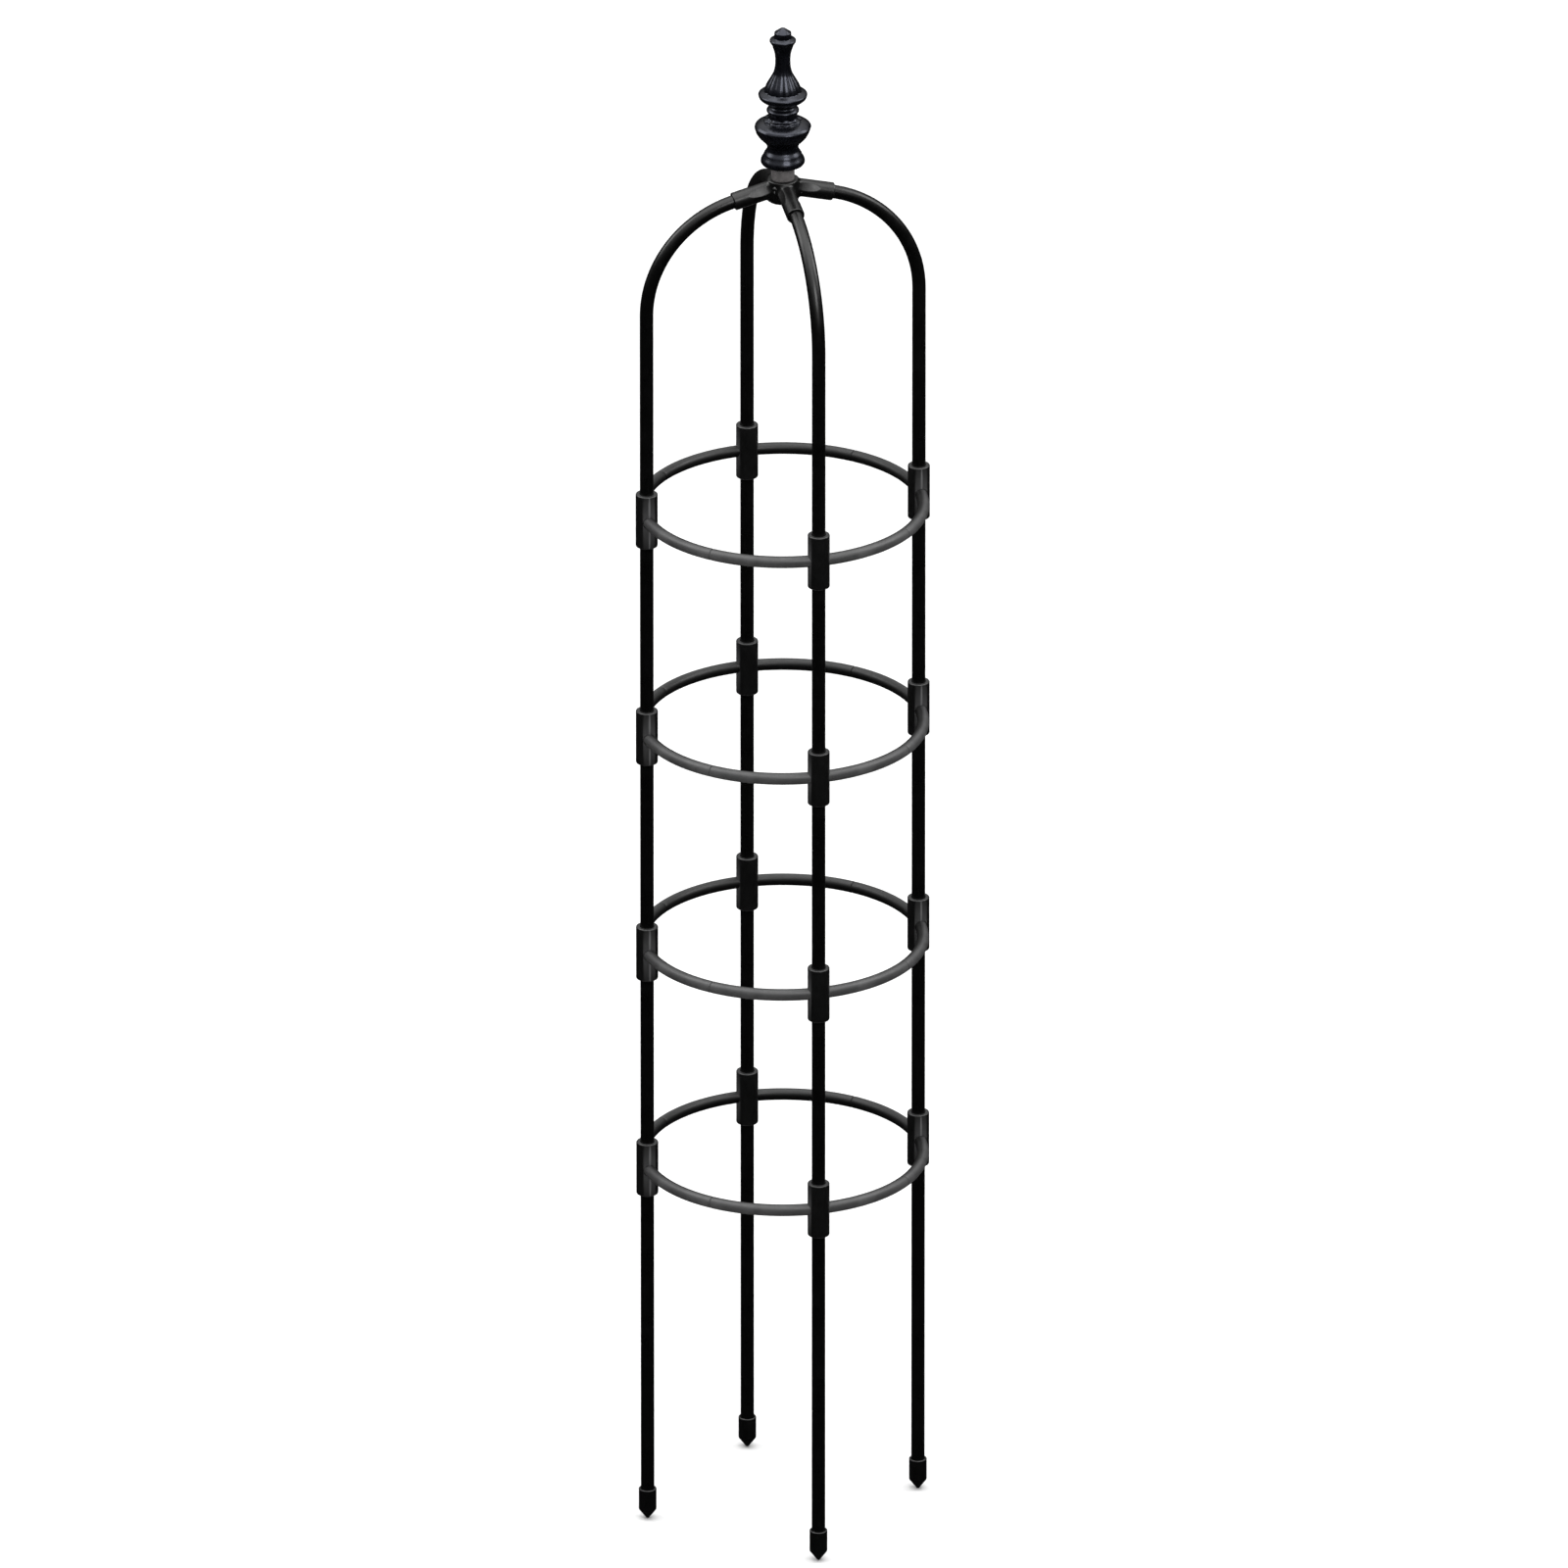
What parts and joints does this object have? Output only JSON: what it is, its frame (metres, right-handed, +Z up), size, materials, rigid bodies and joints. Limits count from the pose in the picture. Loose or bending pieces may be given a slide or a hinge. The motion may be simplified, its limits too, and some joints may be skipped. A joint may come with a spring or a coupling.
{
  "type": "garden obelisk",
  "caption": "Round knock-down garden obelisk: tube legs and rings held by sleeve connectors, domed top with a turned finial.",
  "frame": {"origin": "on the ground plane of the four spike tips, on the tower's axis", "axes": "+Z up along the tower's axis; the legs stand on the X and Y axes, the front leg at -Y"},
  "size_m": [0.356, 0.356, 1.9],
  "materials": {
    "coated_tube": "satin black coating",
    "moulded_plastic": "satin black moulding",
    "cast_finial": "satin black moulding with a cool sheen",
    "grey_metal": "dull grey, satin",
    "zinc_screw": "zinc plated"
  },
  "bodies": {
    "frame": {"ground_spike_right": "moulded_plastic", "lower_leg_tube_right": "coated_tube", "ring1_connector_right": "moulded_plastic", "ring1_arc_right": "coated_tube", "leg_tube1_right": "coated_tube", "ring2_connector_right": "moulded_plastic", "ring2_arc_right": "coated_tube", "leg_tube2_right": "coated_tube", "ring3_connector_right": "moulded_plastic", "ring3_arc_right": "coated_tube", "leg_tube3_right": "coated_tube", "ring4_connector_right": "moulded_plastic", "ring4_arc_right": "coated_tube", "arch_tube_right": "coated_tube", "ground_spike_back": "moulded_plastic", "lower_leg_tube_back": "coated_tube", "ring1_connector_back": "moulded_plastic", "ring1_arc_back": "coated_tube", "leg_tube1_back": "coated_tube", "ring2_connector_back": "moulded_plastic", "ring2_arc_back": "coated_tube", "leg_tube2_back": "coated_tube", "ring3_connector_back": "moulded_plastic", "ring3_arc_back": "coated_tube", "leg_tube3_back": "coated_tube", "ring4_connector_back": "moulded_plastic", "ring4_arc_back": "coated_tube", "arch_tube_back": "coated_tube", "ground_spike_left": "moulded_plastic", "lower_leg_tube_left": "coated_tube", "ring1_connector_left": "moulded_plastic", "ring1_arc_left": "coated_tube", "leg_tube1_left": "coated_tube", "ring2_connector_left": "moulded_plastic", "ring2_arc_left": "coated_tube", "leg_tube2_left": "coated_tube", "ring3_connector_left": "moulded_plastic", "ring3_arc_left": "coated_tube", "leg_tube3_left": "coated_tube", "ring4_connector_left": "moulded_plastic", "ring4_arc_left": "coated_tube", "arch_tube_left": "coated_tube", "ground_spike_front": "moulded_plastic", "lower_leg_tube_front": "coated_tube", "ring1_connector_front": "moulded_plastic", "ring1_arc_front": "coated_tube", "leg_tube1_front": "coated_tube", "ring2_connector_front": "moulded_plastic", "ring2_arc_front": "coated_tube", "leg_tube2_front": "coated_tube", "ring3_connector_front": "moulded_plastic", "ring3_arc_front": "coated_tube", "leg_tube3_front": "coated_tube", "ring4_connector_front": "moulded_plastic", "ring4_arc_front": "coated_tube", "arch_tube_front": "coated_tube", "top_hub": "moulded_plastic", "finial_post": "grey_metal", "hub_screw": "zinc_screw"},
    "finial": {"finial": "cast_finial"}
  },
  "joints": [
    {"name": "finial_lift", "type": "slide", "parent": "frame", "child": "finial", "axis": [0, 0, 1], "range_m": [0, 0.06]}
  ]
}
